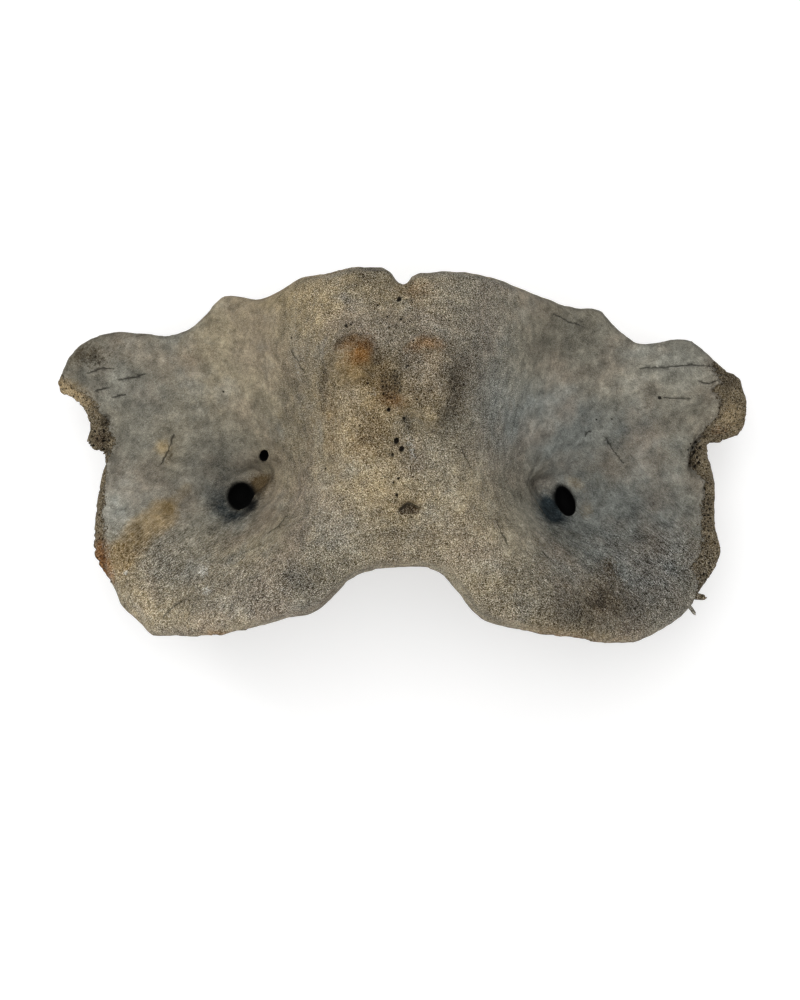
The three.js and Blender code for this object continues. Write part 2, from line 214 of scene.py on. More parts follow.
# Splinters and a strut at the left worn border: root, tip, radius
SPLINTERS = [
    ((62, -30.8), (66.9, -31.5), 0.72),
    ((61.8, -32), (64.4, -35.4), 0.42),
    ((63.6, -3.8), (67, -1.8), 0.4),
]
SPLINTER_DROP = 1.2

# Stains of the back, by colour: place, reach, turn, strength. Some colours are partly or wholly painted
# shade, as noted at each
STAINS = {
    "warm": [
        ((-17.7, 29), (6, 6), 0, 0.4), ((-50.4, -0.3), (3, 4), 0, 0.4), ((-6.8, -1.4), (4, 3), 0, 0.4),
        ((-4, -4), (17, 15), 0, 0.5), ((-14, -24), (24, 8), 0.2, 0.3), ((14, -22), (22, 10), -0.2, 0.4),
        ((-28, 20), (14, 12), 0, 0.4), ((-8, 34), (20, 7), 0, 0.65), ((-50, -33), (14, 7), 0.6, 0.45),
        ((-17, 8), (7, 16), 0, 0.5), ((40, -34), (16, 7), 0.2, 0.35), ((-8, 9), (8, 13), 0, 0.6),
        ((5, 14), (9, 11), 0, 0.8), ((-40, 21), (8, 13), 0, 0.45), ((20, -30), (9, 4), 0, 0.3),
        ((17, -8), (6, 10), 0, 0.4), ((-26, 34), (10, 5), 0, 0.4), ((-60, -27), (5, 9), 0.4, 0.7),
        ((-28, -6), (6, 10), 0, 0.35), ((-50, 5), (5, 9), 0, 0.25), ((-30, -38), (22, 3), -0.1, 0.5),
        ((36, -38), (20, 3), -0.1, 0.5), ((-33, -19), (8, 6), 0, 0.45), ((-2, -10), (12, 5), 0, 0.4),
        ((-15, 38), (9, 4), 0, 0.4), ((2, 34), (5, 4), 0, 0.4), ((-62, 9), (5, 4), 0, 0.3),
        ((-8, 17), (5, 4), 0, 0.4),
    ],
    "cool": [
        ((28, 5), (5, 4), 0, 0.45), ((63, 18), (11, 7), 0, 0.3), ((-37, 20), (6, 6), 0, 0.25),
        ((75, 11.7), (4, 5), 0, 0.4), ((54.3, -23.2), (4, 6), 0, 0.35), ((52, -12), (15, 13), 0, 0.9),
        ((20, 10), (4.5, 15), 0.1, 0.5), ((-52, -6), (10, 13), -0.4, 0.4), ((-60, 12), (14, 8), 0, 0.5),
        ((33, 4), (10, 12), 0, 0.6), ((-38, -4), (8, 9), 0, 0.35), ((36, -12), (8, 8), 0, 0.7),
        ((-35, -14), (6, 6), 0, 0.5), ((-62, -12), (4, 9), 0, 0.5), ((54, 22), (14, 5), 0, 0.4),
        ((49, -24), (11, 10), 0, 0.7), ((40, 7), (14, 8), 0, 0.5), ((6, 0), (5, 6), 0, 0.15),
        ((-15, -16), (9, 9), 0, 0.2), ((30, 8), (8, 7), 0, 0.5), ((52, 6), (6, 6), 0, 0.4),
        ((54, -22), (8, 8), 0, 0.4),
    ],
    "orange": [
        ((-7.8, 21.6), (2.2, 3.4), -0.4, 0.9), ((-10.6, 20), (3.6, 3), 0.5, 0.35),
        ((-11.8, 23.4), (3, 1.3), 0.6, 0.55), ((5.6, 23), (3.8, 2), 0, 0.35),
        ((2.8, 34.6), (3.6, 2.6), 0, 0.45), ((-0.9, 10.8), (3.2, 1.6), -0.2, 0.55),
        ((-65.3, -22.5), (1.8, 4.6), 0, 0.9), ((-64, -26), (1.4, 3), 0.5, 0.8),
        ((-65.8, 3), (2.2, 2.4), 0, 0.3), ((42.3, -33), (2.4, 2.2), 0, 0.3),
        ((69.6, 5), (3, 1.6), 0.3, 0.35), ((-14.8, 6), (2, 10), 0, 0.25), ((-27, 24), (3.5, 7), 0, 0.15),
        ((34, -39.4), (13, 0.8), -0.14, 0.5), ((-39, -39), (4, 1.2), 0, 0.5),
        ((-8.6, 2), (3.6, 5), 0, 0.25), ((-3, 13.4), (3, 4.4), 0, 0.3),
    ],
    "yellow": [
        ((-2, 10.6), (4, 2), 0, 0.4), ((-6.2, 12.2), (2.6, 3.2), 0, 0.9), ((6.1, 7.7), (2, 2), 0, 0.6),
        ((-12, 18.8), (3.4, 3), 0, 0.35), ((-51.9, 1.4), (1.5, 1.5), 0, 0.7), ((-6, -8), (9, 6), 0, 0.3),
        ((-3, 3), (4, 7), 0, 0.3), ((-11, 16.6), (2.6, 1.4), 0, 0.3),
        ((-73.2, 14.2), (2.4, 1.8), -0.6, 0.5),
    ],
    "ochre": [
        ((-7, 17.4), (5, 3), 0, 0.6), ((-4.6, 3), (4.4, 5), 0, 0.5), ((42, -33), (8, 3), 0, 0.35),
        ((0.9, -11.2), (4, 1.6), 0, 0.5), ((-1.8, 12.4), (3, 4), 0, 0.6),
        ((-73, 14.2), (3.2, 2.2), -0.5, 1.0), ((-69, 11.4), (3, 2.4), -0.6, 0.5),
        ((72.2, 8), (3.4, 4.2), 0, 0.5), ((38, -38.8), (14, 1.2), -0.14, 0.5),
        ((-40, -39), (5, 1.2), 0, 0.5), ((-51.9, 1.4), (1.6, 1.6), 0, 0.5),
        ((-10, 18), (4.4, 3.4), 0, 0.7), ((-6, 8), (3.4, 4), 0, 0.4), ((-9, 3), (4, 6), 0, 0.35),
        ((5, 22.4), (3.4, 2.4), 0, 0.45), ((-15.6, 9.4), (2.6, 8), 0, 0.4),
        ((38, -6.4), (2.6, 1.6), -0.6, 0.4), ((40.5, -12.4), (1.8, 2), 0, 0.35),
        ((-61, -24), (3.4, 5), 0.4, 0.4), ((-4.4, 15), (4, 6), 0, 0.5), ((43.5, -29.5), (5, 6), 0, 0.4),
        ((6, 13), (4, 6), 0, 0.35),
    ],
    # Brown stains; beside the left lobe's outer flank and along the facet's outline they are partly painted
    # shade
    "brown_and_shade": [
        ((-2.1, 14.4), (2.4, 3.4), 0, 0.3), ((-5.7, 19.4), (1.5, 1.4), 0, 0.3),
        ((1.9, -12.2), (2, 1), 0, 0.6), ((44.9, -24.4), (2.2, 2.6), 0, 0.65),
        ((-31.4, -7.4), (2.6, 2.4), 0.7, 0.9), ((-29, -5.4), (3, 1.5), 0.3, 0.55),
        ((47.3, -28), (2.6, 2), 0, 0.4), ((43, -31), (3, 3.8), 0.2, 0.6), ((-7.4, 37.4), (3, 2), 0, 0.35),
        ((-66.6, 20.9), (4.6, 3), 0.3, 0.4), ((-70.5, 21.5), (5, 2), 0.6, 0.4),
        ((11.4, 12.4), (2.8, 5.6), -0.1, 0.35), ((-16.4, 14), (1, 8), 0, 0.4),
        ((2, 34), (2.6, 2.4), 0, 0.3), ((49, -34.5), (5, 3), 0.3, 0.25),
        ((-50.4, -0.4), (0.8, 2.6), -0.3, 0.5), ((-24.5, 9), (2.6, 9), 0.2, 0.2),
        ((-12.6, 23.6), (2.4, 1.2), 0.5, 0.4), ((7, 4.4), (4, 1.6), -0.1, 0.3),
    ],
    # Soot, and painted shade: in the worn borders' cavities and hollows, in hollows and pits by the midline,
    # at the alar foramina and on the left lobe's outer flank
    "soot_and_shade": [
        ((11, 14), (1.6, 3.6), -0.1, 0.25), ((10, 7), (2.4, 2.6), -0.3, 0.3),
        ((1.8, 6.2), (1.6, 2.4), 0.2, 0.3), ((-5.4, 19.6), (1.3, 1.4), 0, 0.25),
        ((-0.4, 32.2), (1.1, 1.2), 0, 0.35), ((28, -6.4), (1.4, 1.8), 0.2, 0.45),
        ((-66.5, 20.4), (3.4, 2), 0.3, 0.45), ((-63.6, 14.6), (3, 2), 0, 0.25),
        ((51, -34.8), (2.4, 2.4), 0, 0.3), ((-2.6, 0), (2, 1.4), 0, 0.35),
        ((68, 18.6), (2, 1.2), -0.4, 0.5), ((-66, 12.4), (2.6, 1.2), -0.5, 0.3),
        ((6, -17.5), (7, 1.6), 0, 0.15), ((0.8, 22), (2.6, 2.6), 0, 0.2),
        ((64.4, 2), (1.2, 3), -0.5, 0.55), ((63.7, -2), (1.2, 2.2), 0.35, 0.5),
        ((-65.4, 2.8), (2.2, 2.4), 0, 0.55), ((67.5, -12), (1.6, 8), 0, 0.3),
        ((66, -24.6), (2.2, 3.6), 0, 0.35), ((-64.2, 6.8), (1.4, 2), 0, 0.6),
        ((71, 16.4), (3, 3), 0, 0.45), ((43.6, -26), (3.4, 4), 0.2, 0.32), ((47, -31), (4, 3), 0, 0.25),
        ((-31, -8.9), (0.6, 0.5), 0, 0.7),
    ],
    # Painted shade on the slopes and hollows around both alar foramina
    "foramen_shade": [
        ((-40, -9.5), (3, 4.6), 0, 0.18), ((31.4, -10.4), (2.8, 4), 0.35, 0.7),
        ((33, -12.4), (2.2, 2.4), 0.3, 0.8), ((35, -14.2), (2.8, 1.2), 0, 0.5),
        ((-38.4, -12.6), (4.6, 2.4), -0.7, 0.6), ((-35, -13.4), (2.6, 1.2), 0.3, 0.5),
        ((-36.8, -4.4), (3, 2), 0.4, 0.25), ((33, -17.6), (3, 3), 0, 0.25),
        ((-32.4, -11.2), (1.5, 1.1), 0.8, 0.8), ((-39, -8.6), (1.8, 3), 0, 0.3),
    ],
    "pale": [
        ((-59.8, -26), (0.7, 0.6), 0, 0.7), ((-42.7, -25.4), (1.4, 1.3), -0.4, 0.8),
        ((-47.4, -26.6), (2.4, 1.2), 0.3, 0.45), ((-41.8, -29.6), (1.8, 1.2), 0, 0.6),
        ((-62.5, -11.5), (2.2, 5), 0, 0.3), ((5.5, 28.6), (2.4, 2), 0, 0.3),
        ((-16, -30), (9, 3), 0.3, 0.25), ((2.4, 1.4), (0.9, 3), 0.3, 0.45), ((60, -22), (3, 5), 0.3, 0.3),
        ((-24, 14), (5, 7), 0, 0.15), ((62, 8), (4, 6), 0, 0.15), ((-6.2, 12.6), (2, 2.6), 0, 0.25),
    ],
}
# Stains in bands, some of them painted shade: colour, way, half width, strength
STREAKS = [
    # Brown along the facet's outline and down the left lobe's outer flank, and soot in the hollow beside the
    # midline: partly painted shade
    ("brown_and_shade", [(-5.2, 22), (-5.2, 19.4)], 1, 0.35),
    ("brown_and_shade", [(-16.2, 18), (-16.8, 10), (-17.6, 2)], 1.5, 0.14),
    ("brown_and_shade", [(-14.6, 21.6), (-12.4, 24), (-8.6, 25)], 1.1, 0.22),
    ("brown_and_shade", [(11.4, 17), (12.2, 13), (11.4, 9.6)], 2.3, 0.2),
    ("soot_and_shade", [(1.4, 7.8), (1.6, 5.4), (2.6, 3.4)], 1.2, 0.25),
    ("pale", [(-0.6, 9.4), (-1.1, 5.8), (0.2, 3.4), (1.6, 1.2), (2.5, -1.6)], 0.8, 0.25),
    ("orange", [(1.6, 21.6), (4.6, 23.6), (8.4, 22.6)], 1.4, 0.3),
    ("pale", [(16.4, 36), (16.8, 29), (17.6, 24)], 0.8, 0.25),
    ("pale", [(-22.4, 34), (-22.8, 25), (-21.6, 16)], 0.9, 0.25),
    ("pale", [(-18.8, 34), (-19.2, 27)], 0.7, 0.25),
    ("brown_and_shade", [(0.2, -12.6), (1.6, -11.8), (3.4, -12.4)], 0.9, 0.5),
    ("ochre", [(-51.8, -13), (-57, -17.6), (-60.6, -22.6)], 3.4, 0.72),
    ("ochre", [(-46.8, -7.6), (-50.6, -11.8)], 1.4, 0.28),
]
# Broad lighter and darker areas, partly the bone's own tone and partly painted light and shade (slopes lit
# more or less by the lamps, darker top rims, shade beside the alar foramina and the lobes): place, reach,
# turn, share added
SHADES = [
    ((-35, 18), (10, 13), 0, 0.26), ((27, 11), (8, 13), 0, 0.35), ((57.5, 19), (9, 4.5), 0, 0.35),
    ((-59, -10), (7, 5), 0, 0.25), ((-57, -36), (7, 7), 0, 0.3), ((-39, -36), (8, 3), 0, 0.25),
    ((-21, -8), (7, 6), 0, 0.15), ((14, -7), (8, 6), 0, 0.28), ((-31, -19), (6, 5), 0, 0.12),
    ((17, -22), (7, 6), 0, 0.15), ((12, -29), (5, 5), 0, 0.15), ((2, 22), (12, 14), 0, -0.2),
    ((2, 5), (6, 5), 0, -0.15), ((42, -33), (11, 5), 0, -0.4), ((58, -20), (10, 10), 0, -0.25),
    ((46, -15), (7, 6), 0, -0.15), ((-18, -27.5), (6, 4), 0, -0.25), ((37, 27), (8, 5), 0, -0.25),
    ((-7, 38.5), (5, 3), 0, -0.3), ((-69, 22), (6, 3), 0, -0.2), ((-24, 15), (3, 6), 0, -0.15),
    ((-50, -26.5), (4, 3), 0, -0.15), ((49, 1), (8, 5), 0, -0.05), ((-40, 0), (7, 6), 0, -0.1),
    ((33, 9), (14, 7), 0, 0.12), ((26, -14), (4, 8), 0, 0.22), ((-40.5, -11), (4, 7), 0, -0.15),
    ((-21, 16), (4, 12), 0, -0.1), ((-25, -25), (6, 6), 0, -0.12), ((-46, -30), (8, 4), 0, -0.12),
    ((-63, -1.4), (5, 5), 0, -0.15), ((-53.6, -14.5), (4, 4), 0, -0.1), ((-4.6, 3), (4, 3), 0, -0.1),
    ((-6.3, 12.1), (2.6, 3), 0, 0.2), ((-36.6, -3.6), (3, 3), 0, -0.15), ((-63, 11), (5, 4), 0, 0.12),
    ((12.4, 12), (4, 8), 0, -0.3), ((14, 17.5), (3, 5), 0, -0.2), ((-4.6, 2), (4, 4), 0, -0.12),
    ((0, 16), (9, 12), 0, -0.12), ((-14.5, 22), (4, 5), 0, -0.15), ((32.5, -34), (13, 5), 0, -0.12),
    ((54, -33), (8, 4), 0, -0.22), ((19.4, -29.7), (7, 6), 0, -0.1), ((-56, -18), (6, 6), 0, -0.06),
    ((2, 38), (20, 4), 0, -0.1), ((4, -18), (8, 5), 0, -0.06), ((44, 20), (9, 7), 0, 0.14),
    ((-18, 12), (5, 14), 0, -0.14), ((46, -2), (9, 8), 0, 0.06), ((5, 22.6), (4, 3), 0, 0.18),
    ((-29, -5.3), (2, 1.4), 0, 0.25), ((31.4, -10), (2.4, 3), 0.3, 0.4), ((-39.5, -8), (3, 3.4), 0, -0.35),
    ((-32.8, -11.2), (2.6, 2), 0.8, -0.9), ((-69, 17), (4, 5), 0, -0.2), ((-64, 25.6), (5, 2.5), 0, -0.2),
    ((-48, 25.8), (5, 2.5), 0, -0.25), ((-41.6, 7.3), (4, 4), 0, -0.2), ((-43.8, 15), (6, 3.5), 0, -0.12),
    ((-25.3, 4), (4, 3.4), 0, -0.2), ((0.9, 18.2), (3.4, 5), 0, -0.2), ((-4.6, 1.9), (3.4, 2.4), 0, -0.25),
    ((4.1, -3.6), (3, 3), 0, -0.3), ((9.6, 7.3), (2.4, 3), 0, -0.35), ((-22, -26.5), (3, 4), 0, -0.3),
    ((-42.7, -32), (3, 2.4), 0, -0.25), ((-48, -25.4), (6, 3), 0, -0.15), ((3, -16.7), (5, 5), 0, -0.15),
    ((35.8, -35.2), (5, 4), 0, -0.25), ((27, -27.6), (4, 4), 0, -0.15), ((34.7, 23.7), (6, 4), 0, -0.2),
    ((24.9, 31.3), (3, 5), 0, 0.3), ((48, 12.8), (9, 3), 0, 0.3), ((32.5, 2.9), (5, 4), 0, 0.2),
    ((26, -15.6), (7, 4), 0, 0.3), ((41, -16.7), (5, 6), 0, 0.2), ((-61.5, -13.3), (4, 4), 0, 0.3),
    ((-51.4, -0.3), (3, 3), 0, 0.25), ((-48, -20), (5, 3), 0, 0.25), ((71.7, 17), (3, 3), 0, 0.3),
    ((12.9, -29.8), (2.4, 3), 0, 0.25), ((-15.5, 27), (3, 3), 0, 0.2), ((-35, 30), (3, 4), 0, 0.15),
]
RIM_LIGHT_AND_SHADE = 0.35  # painted light and shade by which way a rim faces: how much lighter towards the skull, partly also rubbed paler, and darker towards the tail
# Cups for the skull: middle and reach in x and z, and where their faces begin in y
CUP_AT = (24, 32.6)
CUP_REACH = (12.5, 13)
CUP_FROM = (-20, -24)
# Faces for the next bone: where they begin in y, beside the midline and above the floor
SADDLE_FROM = (26, 30)
SADDLE_BESIDE = (12, 15)
SADDLE_ABOVE = (10, 14)
# The canal's level, and where its walls end
CANAL_AXIS = 37.5
CANAL_WALL = (22, 19)
# Where the arch passes into the wings, where these turn coarse towards the skull, and fibrous
FLANK = (18, 30)
COARSE_FROM = (-13, -27)
FIBROUS_FROM = (-8, -24)
HIDDEN_COARSE = 0.3
FACET_SMOOTH = 0.6
STAIN_WOBBLE = ((3.5, 0.45), (1.1, 0.3))  # size and share of the unevenness in every stain
WOBBLE_REACH = 0.3

# The camera looks straight down; the picture's middle lies this far from the landmarks' zero
CAMERA_HEIGHT = 1500
CAMERA_OFFSET = (-0.2, -10.1)
FRAME_LENGTH = 218
FRAME_LEVEL = 28
SENSOR = 36

# Lights: name, place in metres, power in watts, size in metres
LIGHTS = [
    ("key", (-0.1, 0.3, 2.15), 29.5, 1.5),
    ("raking", (-1.2, 1.0, 0.95), 7, 0.5),
    ("front", (0.1, -1.6, 0.9), 4, 1),
]
ROOM_LIGHT = 0.3
FLOOR_SIZE = 6
FLOOR_GREY = 0.62
FLOOR_GLOW = 0.52

# Grain of the bone by name: lump size, detail, roughness
GRAINS = {
    "broad": (16, 3, 0.6),
    "patch": (9, 3, 0.6),
    "mottle": (3.2, 4, 0.65),
    "blotch": (1.2, 3, 0.6),
    "fleck": (0.6, 3, 0.7),
    "speckle": (0.17, 1, 0.5),
}
FIBRE_ANGLE = math.radians(140)
FIBRE_SIZE = 0.24
FIBRE_STRETCH = 6
PORE_CELL = 0.85
SPONGE_CELL = 0.7
SPONGE_CRISPNESS = 0.6
SPECKLE_SWING = (0.1, 0.48)  # on smooth and on coarse bone
FIBRE_SWING = (0.04, 0.2)
COARSE_DIMMING = -0.03
MATT = 0.9
GLOSS = 0.1
LUMPY_BUMP = {"Strength": 0.7, "Distance": 0.8 * MM}
FINE_BUMP = {"Strength": 0.5, "Distance": 0.16 * MM}
DISPLAY_GAMMA = 2.2


def srgb(red, green, blue):
    """A colour given in display values from 0 to 255, as the linear values that shaders take."""
    def linear(value):
        share = value / 255
        return share / 12.92 if share <= 0.04045 else ((share + 0.055) / 1.055) ** 2.4
    return (linear(red), linear(green), linear(blue), 1.0)


GREY_BONE = srgb(127, 122, 108)
TAN_BONE = srgb(147, 132, 102)
COOL_BONE = srgb(111, 113, 108)
PINK_BONE = srgb(132, 118, 102)
STAIN_COLOURS = {  # and how crisply each breaks into flecks, where 0 is a soft tint
    "yellow": (srgb(166, 148, 112), 0.2),
    "ochre": (srgb(134, 115, 82), 0.25),
    "orange": (srgb(122, 88, 48), 0.5),
    # Brown, partly painted shade
    "brown_and_shade": (srgb(78, 65, 45), 0.8),
    # Soot, partly painted shade
    "soot_and_shade": (srgb(46, 42, 35), 1.0),
    # Painted shade around the alar foramina
    "foramen_shade": (srgb(38, 46, 49), 0.3),
    "pale": (srgb(178, 174, 162), 3.0),
}
SPONGE_BONE = srgb(124, 112, 90)
SPONGE_COLOURS = {  # where the same stains lie on spongy bone
    "ochre": srgb(166, 147, 114),
    "orange": srgb(122, 84, 46),
    # Soot, and painted shade in the worn borders' cavities
    "soot_and_shade": srgb(44, 37, 27),
}
SPONGE_PORE = srgb(30, 25, 18)
SOIL = srgb(108, 92, 68)
CANAL_SOIL = srgb(76, 65, 49)
JOINT_BONE = srgb(150, 138, 112)
PIT_BROWN = srgb(52, 44, 33)
# Near-black painted shade inside the holes and cracks
HOLE_SHADE = srgb(2, 2, 2)


def choose(obj):
    """Makes obj the only selected object, and the active one."""
    bpy.ops.object.select_all(action="DESELECT")
    obj.select_set(True)
    bpy.context.view_layer.objects.active = obj


def finish_with(obj, kind, **settings):
    """Adds a modifier and applies it."""
    choose(obj)
    modifier = obj.modifiers.new(kind.title(), kind)
    for name, value in settings.items():
        setattr(modifier, name, value)
    bpy.ops.object.modifier_apply(modifier=modifier.name)


def even_out(obj, rounds):
    """Smooths a mesh and swells it back by as much each time, so it doesn't shrink."""
    for _ in range(rounds):
        finish_with(obj, "SMOOTH", factor=SMOOTHING, iterations=1)
        finish_with(obj, "SMOOTH", factor=SWELLING, iterations=1)


def points_of(obj):
    flat = np.empty(len(obj.data.vertices) * 3)
    obj.data.vertices.foreach_get("co", flat)
    return flat.reshape(-1, 3) / MM - ORIGIN


def put_points(obj, points):
    obj.data.vertices.foreach_set("co", ((points + ORIGIN) * MM).ravel())
    obj.data.update()


def normals_of(obj):
    flat = np.empty(len(obj.data.vertices) * 3)
    obj.data.vertex_normals.foreach_get("vector", flat)
    return flat.reshape(-1, 3)


def faces_of(obj):
    """Middle and normal of every face."""
    centres = np.empty(len(obj.data.polygons) * 3)
    normals = np.empty(len(obj.data.polygons) * 3)
    obj.data.polygons.foreach_get("center", centres)
    obj.data.polygons.foreach_get("normal", normals)
    return centres.reshape(-1, 3) / MM - ORIGIN, normals.reshape(-1, 3)


def tree_of(obj):
    return BVHTree.FromObject(obj, bpy.context.evaluated_depsgraph_get())


def open_to_sky(obj, points, normals):
    """True where the surface looks up and nothing lies above it."""
    tree = tree_of(obj)
    up = Vector((0, 0, 1))
    is_open = normals[:, 2] > FACES_UP
    for i in np.flatnonzero(is_open):
        start = Vector((points[i] + ORIGIN + normals[i] * SKY_GAP) * MM)
        is_open[i] = tree.ray_cast(start, up)[0] is None
    return is_open


def lumps(points, size, seed, octaves=3):
    """Smooth noise from about -1 to 1, in lumps of a given size."""
    shift = Vector((17.3, 7.1, 3.7)) * seed
    return np.array([noise.fractal(Vector(p) / size + shift, 0.9, 2.0, octaves) for p in points])


def step(low, high, value):
    share = np.clip((value - low) / (high - low), 0, 1)
    return share * share * (3 - 2 * share)


def oval_distance(points, at, reach, turn):
    """Distance in plan from an oval's middle, 1 on the oval."""
    x = points[:, 0] - at[0]
    y = points[:, 1] - at[1]
    along = x * math.cos(turn) + y * math.sin(turn)
    across = y * math.cos(turn) - x * math.sin(turn)
    return np.hypot(along / reach[0], across / reach[1])


def way_distance(points, way):
    """Distance in plan from a line through several places."""
    nearest = np.full(len(points), 1e3)
    for start, end in zip(way, way[1:]):
        start = np.array(start, float)
        run = np.array(end, float) - start
        from_start = points[:, :2] - start
        share = np.clip(from_start @ run / (run @ run), 0, 1)
        away = np.linalg.norm(from_start - share[:, None] * run, axis=1)
        nearest = np.minimum(nearest, away)
    return nearest


def off_line(points, start, end, towards):
    """Distance in plan from a straight line, counted towards a given place."""
    run = np.subtract(end, start)
    beside = np.array((-run[1], run[0])) / np.hypot(*run)
    if beside @ np.subtract(towards, start) < 0:
        beside = -beside
    return (points[:, :2] - np.array(start)) @ beside


def past_skin_edge(points):
    """How far a point lies outside the jagged end of the hard skin, in plan."""
    x, y = points[:, 0], points[:, 1]
    past = np.full(len(points), -99.0)
    for side, edge in ((1, LEFT_SKIN_EDGE), (-1, RIGHT_SKIN_EDGE)):
        places = np.array(edge[::-1], float)
        line = np.interp(y, places[:, 1], places[:, 0])
        beyond = side * (x - line)
        near = np.abs(beyond) < 4
        plan = np.stack([x[near], y[near], np.full(near.sum(), 5.0 * side)], axis=1)
        for number, (size, reach) in enumerate(SKIN_JAGS):
            beyond[near] += reach * lumps(plan, size, 3 + number, 1)
        beyond[side * x < SKIN_FROM] = -99
        past = np.maximum(past, beyond)
    return past


def pore_pattern(points, size):
    """0 in the middle of a pore of the spongy bone, about 1 on the walls between."""
    return np.array([noise.voronoi(Vector(p) / size)[0][0] for p in points])


def copy_of_solid(node, name):
    """A free copy of a CAD node with its doubles merged."""
    choose(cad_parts[node])
    bpy.ops.object.duplicate()
    piece = bpy.context.object
    piece.name = piece.data.name = name
    piece.parent = None
    for key in list(piece.keys()):
        del piece[key]
    bpy.ops.object.mode_set(mode="EDIT")
    bpy.ops.mesh.select_all(action="SELECT")
    bpy.ops.mesh.remove_doubles(threshold=1e-6)
    bpy.ops.object.mode_set(mode="OBJECT")
    return piece


def refine(obj, chosen):
    """Splits the chosen faces in four."""
    choose(obj)
    bpy.context.tool_settings.mesh_select_mode = (False, False, True)
    bpy.ops.object.mode_set(mode="EDIT")
    bpy.ops.mesh.select_all(action="DESELECT")
    bpy.ops.object.mode_set(mode="OBJECT")
    obj.data.polygons.foreach_set("select", chosen)
    bpy.ops.object.mode_set(mode="EDIT")
    bpy.ops.mesh.subdivide(number_cuts=1, smoothness=0)
    bpy.ops.object.mode_set(mode="OBJECT")


def refine_back(obj):
    """Doubles the fineness of the back, and again along the worn borders."""
    centres, normals = faces_of(obj)
    refine(obj, open_to_sky(obj, centres, normals))
    even_out(obj, EVEN_STEPS)
    centres, normals = faces_of(obj)
    refine(obj, (past_skin_edge(centres) > -BORDER_MARGIN) & (normals[:, 2] > -0.2))


def shape_back(obj):
    """Sculpts the relief of the hard skin, its fine forms and ridges, and the sunken spongy borders."""
    points = points_of(obj)
    normals = normals_of(obj)
    back = open_to_sky(obj, points, normals)
    move = sum(height * lumps(points, size, seed) for seed, (size, height) in enumerate(RELIEF))
    uneven = FORM_WOBBLE * (lumps(points, 3, 11, 2) + lumps(points, 1.1, 12, 1))
    for at, reach, turn, height, flatness in BACK_FORMS:
        away = np.clip(oval_distance(points, at, reach, turn) + uneven, 0, 9)
        move += back * height * np.exp(-away ** flatness)
    rim = np.clip(1 - np.abs(normals[:, 2]) / 0.8, 0, 1)
    radius, level = CANAL_KEPT
    outside = np.hypot(points[:, 0] / radius, (points[:, 2] - level) / radius) > 1
    move += EDGE_REGAIN * rim * outside
    for way, width, height in RIDGES:
        move += back * height * np.exp(-(way_distance(points, way) / width) ** 2)
    for start, end, at, reach, turn, width, drop in SLOPES:
        down = np.clip(off_line(points, start, end, at) / width, 0, 1)
        move -= back * drop * down * np.exp(-np.clip(oval_distance(points, at, reach, turn), 0, 9) ** 4)
    worn = step(-0.12, 0.12, past_skin_edge(points))
    spongy = worn > 0.01
    pores = np.zeros(len(points))
    pores[spongy] = 1 - step(0.2, 0.55, pore_pattern(points[spongy], PORE_SIZE))
    move -= worn * PORE_DEPTH * (pores - PORE_MIDDLE)
    moved = points + normals * move[:, None]
    for at, reach, shift in NUDGES:
        share = np.exp(-np.clip(oval_distance(points, at, reach, 0), 0, 9) ** 2)
        moved[:, :2] += share[:, None] * np.array(shift)
    moved[:, 2] -= SKIN_STEP * worn * np.clip(normals[:, 2], 0, 1)
    put_points(obj, moved)


def height_at(tree, x, y):
    """Height of the back at a place in plan, or None beside the bone."""
    above = Vector((np.array((x, y, 200)) + ORIGIN) * MM)
    place = tree.ray_cast(above, Vector((0, 0, -1)))[0]
    return place.z / MM - ORIGIN[2] if place else None


def mesh_object(name, corners, faces):
    mesh = bpy.data.meshes.new(name)
    mesh.from_pydata((corners + ORIGIN) * MM, [], faces)
    obj = bpy.data.objects.new(name, mesh)
    bpy.context.collection.objects.link(obj)
    return obj


def lump_object(name, lumps_in, fineness=2, unevenness=0.35):
    """One mesh of many small uneven lumps, each with a place, three radii and a turn about z."""
    bpy.ops.mesh.primitive_ico_sphere_add(subdivisions=fineness, radius=1)
    ball = bpy.context.object
    corners = np.array([v.co for v in ball.data.vertices])
    sides = np.array([p.vertices for p in ball.data.polygons])
    bpy.data.objects.remove(ball)
    places, faces = [], []
    for number, (at, radii, turn) in enumerate(lumps_in):
        shift = Vector((number * 3.1, 0, 0))
        uneven = 1 + unevenness * np.array([noise.noise(Vector(c) * 1.3 + shift) for c in corners])
        x, y, z = (corners * uneven[:, None] * np.array(radii)).T
        turned = (x * math.cos(turn) - y * math.sin(turn), x * math.sin(turn) + y * math.cos(turn), z)
        places.append(np.stack(turned, axis=1) + np.array(at))
        faces.append(sides + number * len(corners))
    return mesh_object(name, np.concatenate(places), np.concatenate(faces))


def plug_object(name, tree, at):
    """A plug that fills the mouth of an opening up to the bone around it."""
    turns = np.linspace(0, 2 * math.pi, PLUG_SIDES, endpoint=False)
    ring = np.stack([at[0] + PLUG_REACH * np.cos(turns), at[1] + PLUG_REACH * np.sin(turns)], axis=1)
    levels = np.array([height_at(tree, x, y) for x, y in ring])
    top = np.column_stack([ring, levels - 0.05])
    bottom = np.column_stack([ring, np.full(PLUG_SIDES, levels.min() - PLUG_DEPTH)])
    ends = np.array([(*at, levels.mean()), (*at, levels.min() - PLUG_DEPTH)])
    faces = []
    for side in range(PLUG_SIDES):
        after = (side + 1) % PLUG_SIDES
        faces.append((2 * PLUG_SIDES, side, after))
        faces.append((side, PLUG_SIDES + side, PLUG_SIDES + after, after))
        faces.append((2 * PLUG_SIDES + 1, PLUG_SIDES + after, PLUG_SIDES + side))
    return mesh_object(name, np.concatenate([top, bottom, ends]), faces)


